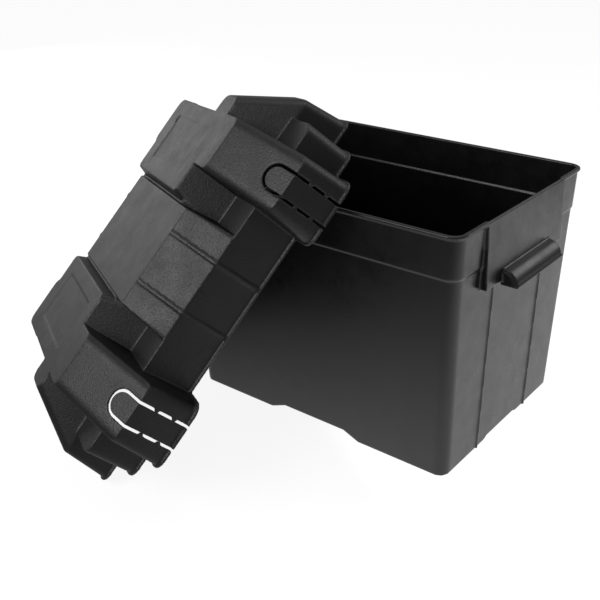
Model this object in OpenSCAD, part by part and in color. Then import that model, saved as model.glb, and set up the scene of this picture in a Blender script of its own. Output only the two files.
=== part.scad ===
// Battery box: an open drafted tub and a raised lid that leans against it.
// Frame: +Z up, +X along the long side, origin on the ground under the middle of tub and lid together.
// The tub's modules are written round the centre of its base, and placed() moves them.
// The lid has its own frame: z = 0 at its mouth, +Z out of its top.

/* [Tub] */
// Outside length of the rim
rim_l = 408; // [400:1:409]
// Outside width of the rim
rim_w = 304; // [296:1:305]
// Height of the tub
tub_h = 302; // [290:1:320]
// Outside length of the base
base_l = 378; // [370:1:384]
// Outside width of the base
base_w = 272; // [266:1:278]
// Wall thickness of the tub and of the lid
wall = 3; // [2.5:0.1:3.5]
// Radius of the tub's upright corners
corner_r = 14.5; // [12:0.5:18]
// Height of the stepped band below the rim
band_h = 51; // [45:1:56]
// How far the band stands proud of the wall
band_out = 1.5; // [1:0.1:2]
// Height of the rolled lip round the rim
lip_h = 4; // [3:0.5:6]
// How far the lip stands proud of the band
lip_out = 2.5; // [2:0.1:3]

/* [End panels and grips] */
// Width of the raised panel on each end
panel_w = 187; // [180:1:194]
// Height of the raised panel, measured down from the rim
panel_h = 78; // [74:1:84]
// How far the panel's lower edge stands beyond the rim
panel_out = 2.4; // [1:0.1:2.8]
// Length of the finger grip on each end panel
grip_l = 118; // [100:1:130]
// Radius of the quarter-round finger grip
grip_r = 19; // [16:0.5:21]
// Height of the grip's open lower edge above the ground
grip_z = 218.5; // [214:0.5:220]
// Distance of each upright end rib from the middle
rib_y = 61; // [50:1:70]
// Width and depth of the upright end ribs
rib_t = 2; // [1.5:0.1:2.5]

/* [Feet] */
// Clear height of the strap channel under the tub
channel_h = 8.5; // [6:0.5:10]
// Half width of the strap channel at the ground
channel_w = 68; // [60:1:74]
// Clear height of the recess under each end
notch_h = 3; // [2:0.5:4]
// Half width of the end recess at the ground
notch_w = 41; // [35:1:50]

/* [Lid] */
// Outside length of the lid's skirt
lid_l = 417; // [416:1:419]
// Outside width of the lid's skirt
lid_w = 313; // [312:1:315]
// Height of the skirt
skirt_h = 60; // [58:1:62]
// Radius of the skirt's corners
lid_r = 13; // [12:0.5:16]
// Height of the two end blocks
lid_h = 114; // [112:1:116]
// Height of the middle plateau
mid_h = 105; // [104:1:106]
// Half width of the middle plateau
mid_w = 61; // [59:0.5:62]
// Front edge of the end blocks' tops, from the middle
block_front = 69; // [67:1:71]
// Back edge of the end blocks' tops, from the middle
block_back = 115; // [112:1:117]
// Half length over both end blocks' tops
block_end = 171; // [169:1:174]
// Distance of each block's inner edge from the middle
block_gap = 69; // [67:0.5:70]
// How far the front wall of a block spreads from top to shelf
front_lean = 28; // [24:1:30]
// How far the other block walls spread from top to shelf
side_lean = 12; // [8:1:16]

/* [Cable humps] */
// Distance of each long-side hump from the middle
hump_x = 139; // [138:0.5:140]
// Half width of a long-side hump at the mouth
hump_w = 38; // [37:0.5:39]
// Half width of a long-side hump at its top
hump_top_w = 33; // [32:0.5:34]
// How far a hump's face stands from the middle
hump_y = 197; // [195:1:199]
// Top edge of a front hump and of the middle plateau, from the middle
hump_top_y = 111; // [110:1:113]
// Top edge of a back hump, from the middle
back_top_y = 122; // [120:1:124]
// How far an end hump's face stands from the middle
end_hump_x = 243; // [241:1:245]

/* [Knock-out tabs] */
// Half width of a tab
tab_w = 12.5; // [12:0.5:14]
// Width of the slit round a tab
slit_w = 3; // [2:0.5:3.5]
// Height of the break-off webs
web_h = 5; // [4:0.5:6]
// Height of the lower pair of webs
web_low = 17.5; // [15:0.5:20]
// Height of the upper pair of webs
web_high = 39; // [36:0.5:42]
// Clearance left between a web and its tab
web_gap = 0.1; // [0.08:0.02:0.2]

/* [Strap guides and labels] */
// Distance of each strap-guide rib from the middle
guide_x = 31; // [28:1:34]
// Width of a strap-guide rib
guide_w = 4; // [3:0.5:6]
// Height of a strap-guide rib
guide_h = 1.5; // [1:0.1:2]
// Depth of the label panel in each end block
label_d = 0.8; // [0.5:0.1:1.2]

/* [Lid rest position] */
// Tilt of the lid about X
lean_x = -10.5; // [-10.6:0.05:-10.4]
// Tilt of the lid about Y
lean_y = -48.01; // [-48.05:0.01:-47.95]
// Turn of the lid about Z
lean_z = 69.36; // [69.3:0.01:69.4]
// Position of the middle of the lid's mouth along X
rest_x = -138.9; // [-139.2:0.1:-138.7]
// Position of the middle of the lid's mouth along Y
rest_y = -172.8; // [-173.1:0.1:-172.5]
// Height of the middle of the lid's mouth
rest_z = 176.3; // [176:0.1:180]

/* [Hidden] */
plastic = [0.09, 0.09, 0.1];
lid_plastic = [0.13, 0.13, 0.14];
// the tub's centre, seen from the middle of the whole arrangement's box
origin_x = 74.6;
origin_y = 129.25;
// small overlap used where one solid is cut through another
eps = 1;
thin = 0.02;
side_out = band_out + lip_out;
top_l = rim_l - 2 * side_out;
top_w = rim_w - 2 * side_out;
floor_z = channel_h + wall;
grip_lip = 1.2;
grip_lip_h = 2;
grip_end = 3;
bead_out = 2.6;
bead_h = 3;
groove_drop = 4;
block_r = 7;
hump_r = 12;
// the blocks' inner walls lean more than their outer ones
inner_lean = 20;
// how much narrower a long-side hump is at the shelf than at its mouth, each side
hump_taper = 3;
// roots keep the far ends of the humps inside the lid
hump_root = -60;
end_root = 150;
// plan radii of the end hump, which sits towards the front
end_near_r = 11;
end_far_r = 22;
end_front = 103;
end_back = 40;
end_top_back = 25;
// how far the end hump's face leans in by the shelf and by its top
end_bend_in = 8;
end_top_in = 49;
end_far_in = 2;
end_bend_drop = 3;
// label panel in each block: centre, length, width and corner radius
label_x = 119;
label_y = 20;
label_l = 62;
label_w = 130;
label_r = 4;
// shallow round mark beside each label, on opposite corners
mark_r = 6;
mark_x = 145;
mark_y = [85, -24];
// how far the middle section's flanks spread by the shelf
mid_spread = 5;
// steep sides of the strap channel: run for each unit of height
arch_run = 2.5;
// how far a strap-guide rib's brow sinks into the plateau
guide_sink = 0.4;
// how far the slit goes past the tab's top, and how far a cutter reaches out of the hump
slit_over = 2;
cut_reach = 4;
// how far the tab's upright part runs up the slope
tab_up = 6;
front_slope = atan((lid_h - skirt_h) / (hump_y - hump_top_y));
back_slope = atan((lid_h - skirt_h) / (hump_y - back_top_y));
mid_slope = atan((mid_h - skirt_h) / (lid_w / 2 - hump_top_y));
tab_rise = 31;
tab_x = hump_x - 0.5;

// half length and half width of the plain wall at height z
function half_l(z) = (base_l + (top_l - base_l) * z / tub_h) / 2;
function half_w(z) = (base_w + (top_w - base_w) * z / tub_h) / 2;
// how far an inset profile's corner drops at a bend of angle a, and shifts at the brow
function bend_drop(a, t) = t * (1 - sin(a)) / cos(a);
function brow_shift(a, t) = t * (1 - cos(a)) / sin(a);

module placed() {
  translate([origin_x, origin_y, 0]) children();
}

module rounded_rect(l, w, r) {
  square([l - 2 * r, w], center = true);
  square([l, w - 2 * r], center = true);
  for (x = [-1, 1], y = [-1, 1])
    translate([x * (l / 2 - r), y * (w / 2 - r)]) circle(r, $fn = 48);
}

module plate(l, w, r, z, h) {
  translate([0, 0, z]) linear_extrude(height = h) rounded_rect(l, w, r);
}

// four upright corner discs: the corners of one level of a drafted box
module level(l, w, r, z) {
  for (x = [-1, 1], y = [-1, 1])
    translate([x * (l / 2 - r), y * (w / 2 - r), z - thin / 2]) cylinder(r = r, h = thin, $fn = 32);
}

// drafted box following the tub's wall, moved out by o, between two heights
module drafted(o, r, z0, z1) {
  hull() {
    level(2 * (half_l(z0) + o), 2 * (half_w(z0) + o), r, z0);
    level(2 * (half_l(z1) + o), 2 * (half_w(z1) + o), r, z1);
  }
}

// profile in the X-Z plane, extruded along Y and centred on it
module across(w) {
  rotate([90, 0, 0]) translate([0, 0, -w / 2]) linear_extrude(height = w) children();
}

// profile in the Y-Z plane, extruded along X and centred on it
module along(w) {
  rotate([90, 0, 90]) translate([0, 0, -w / 2]) linear_extrude(height = w) children();
}

// trapezium standing on the ground, half width w at the ground, with steep sides
module arch(w, h) {
  run = arch_run * h;
  polygon([[-w, -eps], [-w, 0], [run - w, h], [w - run, h], [w, 0], [w, -eps]]);
}

// raised end panel profile, moved in by t
module panel_profile(t) {
  low = tub_h - panel_h + t;
  top = tub_h + (t > 0 ? eps : 0);
  polygon([[half_l(low) - wall - t, low], [rim_l / 2 + panel_out - t, low],
    [rim_l / 2 - t, top], [half_l(low) - wall - t, top]]);
}

// quarter-round finger grip for the +X end, open underneath
module grip() {
  face = rim_l / 2 + panel_out - 0.8;
  translate([face, 0, grip_z]) difference() {
    intersection() {
      rotate([90, 0, 0]) union() {
        cylinder(r = grip_r, h = grip_l - 2 * grip_end, center = true, $fn = 96);
        for (s = [0, 1]) mirror([0, 0, s]) translate([0, 0, grip_l / 2 - grip_end])
          cylinder(r1 = grip_r, r2 = grip_r - grip_end, h = grip_end, $fn = 96);
        translate([0, 0, -grip_l / 2]) intersection() {
          cylinder(r = grip_r + grip_lip, h = grip_l, $fn = 96);
          translate([0, -eps, 0]) cube([2 * grip_r, grip_lip_h + eps, grip_l]);
        }
      }
      translate([-wall / 2, -grip_l, 0]) cube([3 * grip_r, 2 * grip_l, 2 * grip_r]);
    }
    rotate([90, 0, 0]) cylinder(r = grip_r - wall, h = grip_l - 2 * wall - 2 * grip_end, center = true, $fn = 96);
    translate([-grip_r, -grip_l, -grip_r]) cube([grip_r - wall / 2, 2 * grip_l, 3 * grip_r]);
  }
}

module end_rib(y) {
  z1 = tub_h - panel_h + eps;
  translate([0, y, 0]) across(rib_t)
    polygon([[half_l(0) - eps, 0], [half_l(0) + rib_t, 0], [half_l(z1) + rib_t, z1], [half_l(z1) - eps, z1]]);
}

module tub_inside() {
  difference() {
    drafted(-wall, corner_r - wall, wall, tub_h + eps);
    across(2 * rim_w) arch(channel_w + wall, floor_z);
    along(2 * rim_l) arch(notch_w + wall, notch_h + wall);
  }
  drafted(band_out - wall, corner_r - wall, tub_h - band_h + wall, tub_h + eps);
}

module tub() {
  color(plastic) placed() difference() {
    union() {
      drafted(0, corner_r, 0, tub_h);
      drafted(band_out, corner_r + band_out, tub_h - band_h, tub_h);
      plate(rim_l, rim_w, corner_r + side_out, tub_h - lip_h, lip_h);
      for (m = [0, 1]) mirror([m, 0, 0]) {
        across(panel_w) panel_profile(0);
        grip();
        for (s = [-1, 1]) end_rib(s * rib_y);
      }
    }
    tub_inside();
    for (m = [0, 1]) mirror([m, 0, 0]) across(panel_w - 2 * wall) panel_profile(wall);
    across(2 * rim_w) arch(channel_w, channel_h);
    along(2 * rim_l) arch(notch_w, notch_h);
  }
}

module disc(x, y, z, r) {
  translate([x, y, z - thin / 2]) cylinder(r = r, h = thin, $fn = 32);
}

// spread of a wall that leans out by total from top to shelf, at height z, moved in by t
function spread(total, z, t) =
  (lid_h - z) * total / (lid_h - skirt_h) - t / cos(atan(total / (lid_h - skirt_h)));

// raised block with leaning walls between x0 and x1, rising to height top, inset by t
module block(x0, x1, lean0, lean1, top, t) {
  r = block_r - t;
  hull() for (z = [skirt_h - t - eps, top - t],
              x = [x0 + r - spread(lean0, z, t), x1 - r + spread(lean1, z, t)],
              y = [-block_front + r - spread(front_lean, z, t), block_back - r + spread(side_lean, z, t)])
    disc(x, y, z, r);
}

// cable hump on the front long side, +X half, with its top edge at y = -edge, inset by t
module side_hump(edge, t) {
  r = hump_r - t;
  low = t > 0 ? -eps : 0;
  a = atan((lid_h - skirt_h) / (hump_y - edge));
  hull() for (s = [-1, 1], k = [0, 1]) {
    face = k * (r - hump_y + t) + (1 - k) * hump_root;
    disc(hump_x + s * (hump_w - hump_r), face, low, r);
    disc(hump_x + s * (hump_w - hump_r - hump_taper), face, skirt_h - bend_drop(a, t), r);
    disc(hump_x + s * (hump_top_w - hump_r), k * (r - edge + brow_shift(a, t)) + (1 - k) * hump_root,
      lid_h - t - thin / 2, r);
  }
}

// cable hump on the +X end, towards the front, inset by t
module end_hump(t) {
  low = t > 0 ? -eps : 0;
  near = end_near_r - t;
  far = end_far_r - t;
  bend = skirt_h - end_bend_drop - t / 2;
  top = lid_h - t - thin / 2;
  bend_x = end_hump_x - end_bend_in - t;
  top_x = end_hump_x - end_top_in - t / 3;
  top_back = -end_top_back - near;
  hull() {
    disc(end_hump_x - t - near, -end_front + t + near, low, near);
    disc(end_hump_x - t - end_far_in - far, -end_back - far, low, far);
    disc(bend_x - near, -end_front + 1 + t + near, bend, near);
    disc(bend_x - far, -end_back - far, bend, far);
    disc(top_x - near, -block_front + t / 2 + near, top, near);
    disc(top_x - near, top_back, top, near);
    for (y = [-end_front + t + near, top_back]) disc(end_root, y, low, near);
    for (y = [-end_front + end_bend_drop + t + near, top_back]) disc(end_root, y, bend, near);
    for (y = [-block_front + t / 2 + near, top_back]) disc(end_root, y, top, near);
  }
}

// side profile of the middle section and its two slopes, inset by t
module mid_profile(t) {
  y0 = lid_w / 2 - t;
  y1 = hump_top_y - brow_shift(mid_slope, t);
  low = skirt_h / 2;
  bend = skirt_h - bend_drop(mid_slope, t);
  polygon([[-y0, low], [-y0, bend], [-y1, mid_h - t], [y1, mid_h - t], [y0, bend], [y0, low]]);
}

// middle section, with flanks that lean out towards the shelf, inset by t
module middle(t) {
  hull() {
    along(2 * (mid_w - t)) mid_profile(t);
    along(2 * (mid_w + mid_spread - t)) translate([t - lid_w / 2, skirt_h / 2])
      square([lid_w - 2 * t, skirt_h / 2 - end_far_in - t / 2]);
  }
}

// outer form of the lid, inset by t
module lid_form(t) {
  low = t > 0 ? eps : 0;
  plate(lid_l - 2 * t, lid_w - 2 * t, lid_r - t, -low, skirt_h - t + low);
  middle(t);
  block(-block_gap, block_gap, 0, 0, mid_h - groove_drop, t);
  for (m = [0, 1]) mirror([m, 0, 0]) {
    block(block_gap, block_end, inner_lean, side_lean, lid_h, t);
    side_hump(hump_top_y, t);
    mirror([0, 1, 0]) side_hump(back_top_y, t);
    end_hump(t);
  }
}

// thin bead round the mouth of the skirt and of each hump
module mouth_bead() {
  plate(lid_l + 2 * bead_out, lid_w + 2 * bead_out, lid_r + bead_out, 0, bead_h);
  for (m = [0, 1], n = [0, 1]) mirror([m, 0, 0]) mirror([0, n, 0])
    translate([hump_x, 0, 0])
      plate(2 * (hump_w + bead_out), 2 * (hump_y + bead_out), hump_r + bead_out, 0, bead_h);
  for (m = [0, 1]) mirror([m, 0, 0]) hull() {
    translate([end_hump_x - end_near_r, end_near_r - end_front, 0])
      cylinder(r = end_near_r + bead_out, h = bead_h, $fn = 32);
    translate([end_hump_x - end_far_in - end_far_r, -end_back - end_far_r, 0])
      cylinder(r = end_far_r + bead_out, h = bead_h, $fn = 32);
    translate([end_root, end_near_r - end_front, 0])
      cylinder(r = end_near_r + bead_out, h = bead_h, $fn = 32);
  }
}

// low rib down the slope and the skirt that keeps the hold-down strap in place
module strap_guide() {
  y0 = lid_w / 2 + guide_h;
  bend = skirt_h + bend_drop(mid_slope, guide_h);
  brow = hump_top_y + brow_shift(mid_slope, guide_h) - guide_sink;
  along(guide_w) polygon([[-y0, 0], [-y0, bend], [-brow, mid_h + guide_h - guide_sink],
    [eps - hump_top_y, mid_h], [-hump_top_y, mid_h - wall], [wall - y0, skirt_h - wall], [wall - y0, 0]]);
}

module label_panel() {
  translate([label_x, label_y, lid_h - label_d])
    linear_extrude(height = eps + label_d) rounded_rect(label_l, label_w, label_r);
}

// shallow round mark in a block's top, at distance y from the middle
module mould_mark(y) {
  translate([mark_x, y, lid_h - 1.5 * label_d]) cylinder(r = mark_r, h = eps + 1.5 * label_d, $fn = 48);
}

// upright outline with a round top: half width w, straight to height h
module tongue(w, h) {
  polygon([[-w, 0], [w, 0], for (a = [0 : 9 : 180]) [w * cos(a), h + w * sin(a)]]);
}

// cut through the hump's face and slope round a tab, g wider than it on every side
module tab_cut(slope, g) {
  w = tab_w + g;
  translate([tab_x - w, -hump_y - cut_reach, -eps]) cube([2 * w, wall + cut_reach + eps, skirt_h + eps]);
  translate([tab_x, -hump_y, skirt_h]) rotate([slope, 0, 0]) translate([0, -slit_over, -wall - eps])
    linear_extrude(height = wall + cut_reach) tongue(w, tab_rise - tab_w + slit_over);
}

// one knock-out tab, in the lid's frame, front side, +X half, on a hump of the given slope
module tab(slope) {
  rise_y = tab_up * cos(slope) - hump_y;
  rise_z = skirt_h + tab_up * sin(slope);
  translate([tab_x, 0, 0]) along(2 * tab_w) polygon([[-hump_y, 0], [-hump_y, skirt_h],
    [rise_y, rise_z], [rise_y + wall * sin(slope), rise_z - wall * cos(slope)],
    [wall - hump_y, skirt_h - bend_drop(slope, wall)], [wall - hump_y, 0]]);
  translate([tab_x, -hump_y, skirt_h]) rotate([slope, 0, 0]) translate([0, tab_up / 2, -wall])
    linear_extrude(height = wall) tongue(tab_w, tab_rise - tab_w - tab_up / 2);
  translate([tab_x - tab_w, -hump_y - bead_out, 0]) cube([2 * tab_w, bead_out + wall / 2, bead_h]);
}

// the short webs that hold a tab, stopping just clear of it
module webs() {
  for (s = [-1, 1], z = [web_low, web_high])
    translate([tab_x + s * (tab_w + web_gap + (slit_w + eps) / 2), -hump_y + wall / 2, z])
      cube([slit_w + eps, wall, web_h], center = true);
}

module at_rest() {
  placed() translate([rest_x, rest_y, rest_z]) rotate([lean_x, lean_y, lean_z]) children();
}

module lid() {
  color(lid_plastic) at_rest() {
    difference() {
      union() {
        lid_form(0);
        mouth_bead();
        for (n = [0, 1], s = [-1, 1]) mirror([0, n, 0])
          translate([s * guide_x, 0, 0]) strap_guide();
      }
      lid_form(wall);
      for (m = [0, 1]) mirror([m, 0, 0]) {
        label_panel();
        tab_cut(front_slope, slit_w);
        mirror([0, 1, 0]) tab_cut(back_slope, slit_w);
        mould_mark(mark_y[m]);
      }
    }
    for (m = [0, 1], n = [0, 1]) mirror([m, 0, 0]) mirror([0, n, 0]) webs();
  }
}

module tab_front_left() {
  color(lid_plastic) at_rest() mirror([1, 0, 0]) tab(front_slope);
}

module tab_front_right() {
  color(lid_plastic) at_rest() tab(front_slope);
}

module tab_back_left() {
  color(lid_plastic) at_rest() mirror([1, 0, 0]) mirror([0, 1, 0]) tab(back_slope);
}

module tab_back_right() {
  color(lid_plastic) at_rest() mirror([0, 1, 0]) tab(back_slope);
}

tub();
lid();
tab_front_left();
tab_front_right();
tab_back_left();
tab_back_right();
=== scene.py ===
import math

import bpy
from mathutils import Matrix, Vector


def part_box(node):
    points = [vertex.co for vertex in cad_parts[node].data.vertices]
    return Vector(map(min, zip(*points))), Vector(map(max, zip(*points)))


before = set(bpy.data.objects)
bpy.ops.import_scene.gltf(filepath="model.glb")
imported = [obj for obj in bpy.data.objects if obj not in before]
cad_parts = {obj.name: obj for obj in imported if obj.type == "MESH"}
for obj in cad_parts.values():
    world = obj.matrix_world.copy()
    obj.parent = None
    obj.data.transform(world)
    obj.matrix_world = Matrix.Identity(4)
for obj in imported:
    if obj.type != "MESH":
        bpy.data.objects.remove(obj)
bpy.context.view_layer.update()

MM = 0.001
TABS = ("tab_front_left", "tab_front_right", "tab_back_left", "tab_back_right")

# ---------------------------------------------------------------- shape
WELD_REACH = 0.01 * MM
SHELL_VOXEL = 1.2 * MM
TAB_VOXEL = 0.6 * MM
SMOOTHING = 0.5

# ---------------------------------------------------------------- plastic
# noise patterns, with the scale in cells to the metre
CLOUD = {"scale": 9.0, "detail": 3.0, "rough": 0.55}
SMUDGE = {"scale": 38.0, "detail": 5.0, "rough": 0.65}
FLOW = {"scale": 60.0, "detail": 2.0, "rough": 0.5}
GRAIN = {"detail": 4.0, "rough": 0.6}
# flow marks are drawn out along the frame's Z
FLOW_STRETCH = (1.0, 1.0, 0.12)
# the middle stretch of a noise pattern that a remap spreads over its whole range
NOISE_LOW = 0.3
NOISE_HIGH = 0.7
# the darkest and lightest clouds, against the plastic's shade
DARKEST = 0.80
LIGHTEST = 1.22
# pointiness where the painted edge highlight starts on an edge, and where it is full
HIGHLIGHT_START = 0.51
HIGHLIGHT_FULL = 0.59
# the painted edge highlight comes and goes: the smudge levels between which it grows, and the least it keeps
PATCH_LOW = 0.35
PATCH_HIGH = 0.65
PATCH_LEAST = 0.45
# how far smudges, grain and the edge mask of the painted highlight shift the roughness
SMUDGE_GLOSSIER = 0.05
SMUDGE_DULLER = 0.06
GRAIN_GLOSS = 0.06
EDGE_GLOSS = 0.08
# how strongly flow marks and grain tilt the surface
FLOW_BUMP = 0.6
GRAIN_BUMP = 0.8

# ---------------------------------------------------------------- camera, from the middle of the tub's base
EYE = Vector((0.6046, -0.8716, 0.6328))
PITCH_DOWN = 23.77
YAW = 36.42
LENS_MM = 53.96
SENSOR_MM = 36
SHIFT_X = -0.0887
SHIFT_Y = -0.055
NEAREST = 10 * MM
FARTHEST = 100

# ---------------------------------------------------------------- floor, sky and lights
FLOOR_SIZE = 30
FLOOR_SINK = 0.5 * MM
FLOOR_GREY = (0.16, 0.16, 0.16)
FLOOR_ROUGH = 0.9
WHITE = (1, 1, 1)
# the least glow that the camera sees, and the glow that other rays see away from the patches
FLOOR_SEEN = 0.9
FLOOR_FAR = 0.02
# round patches of floor that other rays see: centre, then the radii between which the glow fades
FLOOR_PATCHES = (
    ((0.35, 0.35, 0), 0.55, 1.0),
    ((-0.6, 0.6, 0), 0.4, 0.75),
)
# the sky's strength as a light, and as the camera sees it behind the floor
SKY_LIGHT = 0.28
SKY_SEEN = 0.95
# each softbox: its place, width and height, and watts; all point at AIM
AIM = Vector((-0.1, -0.1, 0.2))
SOFTBOXES = {
    "overhead": ((0.1, 0.3, 2.2), 1.4, 1.2, 7),
    "front": ((-0.6, -2.0, 1.6), 1.6, 1.2, 29),
    "left": ((-2.5, 0.2, 0.75), 2.2, 1.4, 8.5),
    "back": ((1.1, 1.9, 1.3), 1.2, 1.0, 9),
}


def soften(name, voxel, rounds, keep):
    """Rounds a moulded shell's edges: weld, remesh, smooth, then thin out its flat faces."""
    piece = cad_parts[name]
    weld = piece.modifiers.new("weld", "WELD")
    weld.merge_threshold = WELD_REACH
    mould = piece.modifiers.new("mould", "REMESH")
    mould.mode = "VOXEL"
    mould.voxel_size = voxel
    mould.use_smooth_shade = True
    radii = piece.modifiers.new("radii", "SMOOTH")
    radii.factor = SMOOTHING
    radii.iterations = rounds
    thin = piece.modifiers.new("thin", "DECIMATE")
    thin.ratio = keep
    return piece


def node(tree, kind, **values):
    made = tree.nodes.new(kind)
    for key, value in values.items():
        setattr(made, key, value)
    return made


def noise(tree, where, scale, detail, rough):
    made = node(tree, "ShaderNodeTexNoise")
    made.inputs["Scale"].default_value = scale
    made.inputs["Detail"].default_value = detail
    made.inputs["Roughness"].default_value = rough
    tree.links.new(where, made.inputs["Vector"])
    return made.outputs["Fac"]


def remap(tree, value, low, high, to_low, to_high):
    made = node(tree, "ShaderNodeMapRange")
    for key, number in (("From Min", low), ("From Max", high), ("To Min", to_low), ("To Max", to_high)):
        made.inputs[key].default_value = number
    tree.links.new(value, made.inputs["Value"])
    return made.outputs["Result"]


def maths(tree, kind, a, b):
    """One sum on a and b. Each is a socket or a number."""
    made = node(tree, "ShaderNodeMath", operation=kind)
    for socket, value in zip(made.inputs, (a, b)):
        if isinstance(value, (int, float)):
            socket.default_value = value
        else:
            tree.links.new(value, socket)
    return made.outputs["Value"]


def mix(tree, factor, a, b):
    """A colour between a and b. Each is a socket, or a colour given as three numbers."""
    made = node(tree, "ShaderNodeMix", data_type="RGBA")
    sides = [s for s in made.inputs if s.type == "RGBA"]
    for socket, value in zip(sides, (a, b)):
        if isinstance(value, tuple):
            socket.default_value = (*value, 1)
        else:
            tree.links.new(value, socket)
    tree.links.new(factor, made.inputs["Factor"])
    return next(s for s in made.outputs if s.type == "RGBA")


def bump(tree, height, strength, depth, below=None):
    made = node(tree, "ShaderNodeBump")
    made.inputs["Strength"].default_value = strength
    made.inputs["Distance"].default_value = depth
    tree.links.new(height, made.inputs["Height"])
    if below is not None:
        tree.links.new(below, made.inputs["Normal"])
    return made.outputs["Normal"]


def plastic(name, shade, painted_highlight, rough, grain_size, grain_depth, flow_depth):
    """Black moulded plastic: fine grain, faint flow marks, uneven gloss, and convex edges painted lighter as
    a highlight.
    """
    material = bpy.data.materials.new(name)
    material.use_nodes = True
    tree = material.node_tree
    tree.nodes.clear()
    out = node(tree, "ShaderNodeOutputMaterial")
    shader = node(tree, "ShaderNodeBsdfPrincipled")
    tree.links.new(shader.outputs["BSDF"], out.inputs["Surface"])
    where = node(tree, "ShaderNodeTexCoord").outputs["Object"]

    grain = noise(tree, where, scale=1 / grain_size, **GRAIN)
    cloud = noise(tree, where, **CLOUD)
    smudge = noise(tree, where, **SMUDGE)
    stretch = node(tree, "ShaderNodeMapping")
    stretch.inputs["Scale"].default_value = FLOW_STRETCH
    tree.links.new(where, stretch.inputs["Vector"])
    flow = noise(tree, stretch.outputs["Vector"], **FLOW)

    pointed = node(tree, "ShaderNodeNewGeometry").outputs["Pointiness"]
    patchy = remap(tree, smudge, PATCH_LOW, PATCH_HIGH, PATCH_LEAST, 1.0)
    # painted highlight: a mask along the convex edges, made patchy by the smudges
    painted_highlight_mask = maths(tree, "MULTIPLY", remap(tree, pointed, HIGHLIGHT_START, HIGHLIGHT_FULL, 0.0, 1.0), patchy)

    darker = tuple(c * DARKEST for c in shade)
    lighter = tuple(c * LIGHTEST for c in shade)
    body = mix(tree, remap(tree, cloud, NOISE_LOW, NOISE_HIGH, 0.0, 1.0), darker, lighter)
    # the mask mixes the body towards a lighter colour, a painted highlight along the edges
    tree.links.new(mix(tree, painted_highlight_mask, body, painted_highlight), shader.inputs["Base Color"])

    gloss = remap(tree, smudge, NOISE_LOW, NOISE_HIGH, rough - SMUDGE_GLOSSIER, rough + SMUDGE_DULLER)
    gloss = maths(tree, "ADD", gloss, remap(tree, grain, NOISE_LOW, NOISE_HIGH, -GRAIN_GLOSS, GRAIN_GLOSS))
    gloss = maths(tree, "SUBTRACT", gloss, maths(tree, "MULTIPLY", painted_highlight_mask, EDGE_GLOSS))
    tree.links.new(gloss, shader.inputs["Roughness"])

    waves = bump(tree, flow, FLOW_BUMP, flow_depth)
    tree.links.new(bump(tree, grain, GRAIN_BUMP, grain_depth, waves), shader.inputs["Normal"])
    return material


def satin_black():
    """The tub's plastic: nearly black, with a satin gloss."""
    # the lighter edge colour is a painted highlight
    return plastic("tub_satin_black", shade=(0.0033, 0.0033, 0.0036), painted_highlight=(0.025, 0.025, 0.026), rough=0.33,
                   grain_size=1.6 * MM, grain_depth=0.03 * MM, flow_depth=0.012 * MM)


def grained_black():
    """The plastic of the lid and its tabs: a little lighter, with a leathery grain."""
    # the lighter edge colour is a painted highlight
    return plastic("lid_grained_black", shade=(0.006, 0.006, 0.0063), painted_highlight=(0.07, 0.07, 0.072), rough=0.42,
                   grain_size=2.0 * MM, grain_depth=0.5 * MM, flow_depth=0.004 * MM)


def paint(piece, material):
    piece.data.materials.clear()
    piece.data.materials.append(material)


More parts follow.
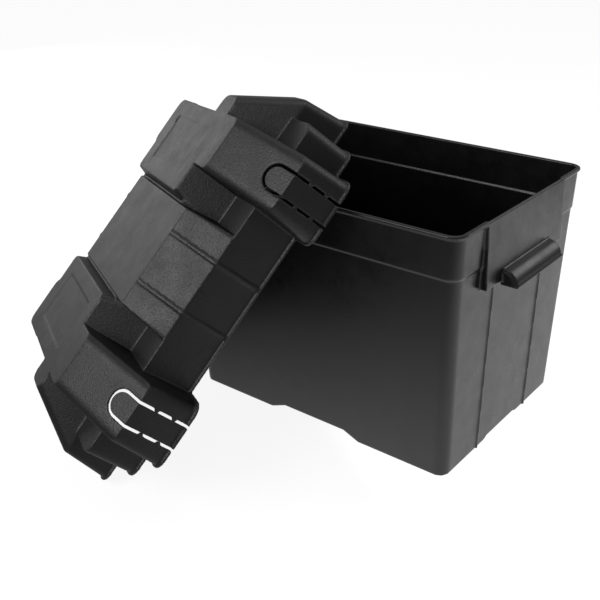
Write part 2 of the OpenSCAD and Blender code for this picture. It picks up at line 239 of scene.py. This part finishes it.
def pale_floor(middle):
    """A pale sheet. The camera sees all of it bright, and other rays see only its patches glow."""
    mesh = bpy.data.meshes.new("floor")
    half = FLOOR_SIZE / 2
    corners = [(-half, -half, 0), (half, -half, 0), (half, half, 0), (-half, half, 0)]
    mesh.from_pydata(corners, [], [(0, 1, 2, 3)])
    floor = bpy.data.objects.new("floor", mesh)
    bpy.context.scene.collection.objects.link(floor)
    floor.location.z = -FLOOR_SINK
    material = bpy.data.materials.new("pale_floor")
    material.use_nodes = True
    tree = material.node_tree
    shader = tree.nodes["Principled BSDF"]
    shader.inputs["Base Color"].default_value = (*FLOOR_GREY, 1)
    shader.inputs["Roughness"].default_value = FLOOR_ROUGH
    shader.inputs["Emission Color"].default_value = (*WHITE, 1)
    where = node(tree, "ShaderNodeTexCoord").outputs["Object"]
    seen = node(tree, "ShaderNodeLightPath").outputs["Is Camera Ray"]
    glow = maths(tree, "MULTIPLY", seen, FLOOR_SEEN)
    for centre, full_to, none_from in FLOOR_PATCHES:
        reach = node(tree, "ShaderNodeVectorMath", operation="DISTANCE")
        tree.links.new(where, reach.inputs[0])
        reach.inputs[1].default_value = middle + Vector(centre)
        patch = remap(tree, reach.outputs["Value"], full_to, none_from, 1.0, FLOOR_FAR)
        glow = maths(tree, "MAXIMUM", patch, glow)
    tree.links.new(glow, shader.inputs["Emission Strength"])
    mesh.materials.append(material)


def sky():
    """A white sky, dim as a light and bright to the camera."""
    world = bpy.data.worlds.new("studio")
    world.use_nodes = True
    tree = world.node_tree
    back = tree.nodes["Background"]
    back.inputs["Color"].default_value = (*WHITE, 1)
    seen = node(tree, "ShaderNodeLightPath").outputs["Is Camera Ray"]
    tree.links.new(remap(tree, seen, 0.0, 1.0, SKY_LIGHT, SKY_SEEN), back.inputs["Strength"])
    bpy.context.scene.world = world


def softbox(name, middle, place, width, height, watts):
    data = bpy.data.lights.new(name, "AREA")
    data.shape = "RECTANGLE"
    data.size = width
    data.size_y = height
    data.energy = watts
    lamp = bpy.data.objects.new(name, data)
    bpy.context.scene.collection.objects.link(lamp)
    lamp.location = middle + Vector(place)
    lamp.rotation_euler = (AIM - Vector(place)).to_track_quat("-Z", "Y").to_euler()


def place_camera(middle):
    data = bpy.data.cameras.new("camera")
    data.lens = LENS_MM
    data.sensor_width = SENSOR_MM
    data.shift_x = SHIFT_X
    data.shift_y = SHIFT_Y
    data.clip_start = NEAREST
    data.clip_end = FARTHEST
    camera = bpy.data.objects.new("camera", data)
    camera.location = middle + EYE
    camera.rotation_euler = (math.radians(90 - PITCH_DOWN), 0, math.radians(YAW))
    bpy.context.scene.collection.objects.link(camera)
    bpy.context.scene.camera = camera


def stage():
    """The floor, sky, lights and camera, all placed from the middle of the tub's base."""
    low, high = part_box("tub")
    middle = Vector(((low.x + high.x) / 2, (low.y + high.y) / 2, 0))
    bpy.context.scene.view_settings.view_transform = "Standard"
    pale_floor(middle)
    sky()
    for name, (place, width, height, watts) in SOFTBOXES.items():
        softbox(name, middle, place, width, height, watts)
    place_camera(middle)


satin = satin_black()
grained = grained_black()
paint(soften("tub", SHELL_VOXEL, rounds=3, keep=0.13), satin)
paint(soften("lid", SHELL_VOXEL, rounds=4, keep=0.22), grained)
for tab in TABS:
    paint(soften(tab, TAB_VOXEL, rounds=3, keep=0.5), grained)
stage()
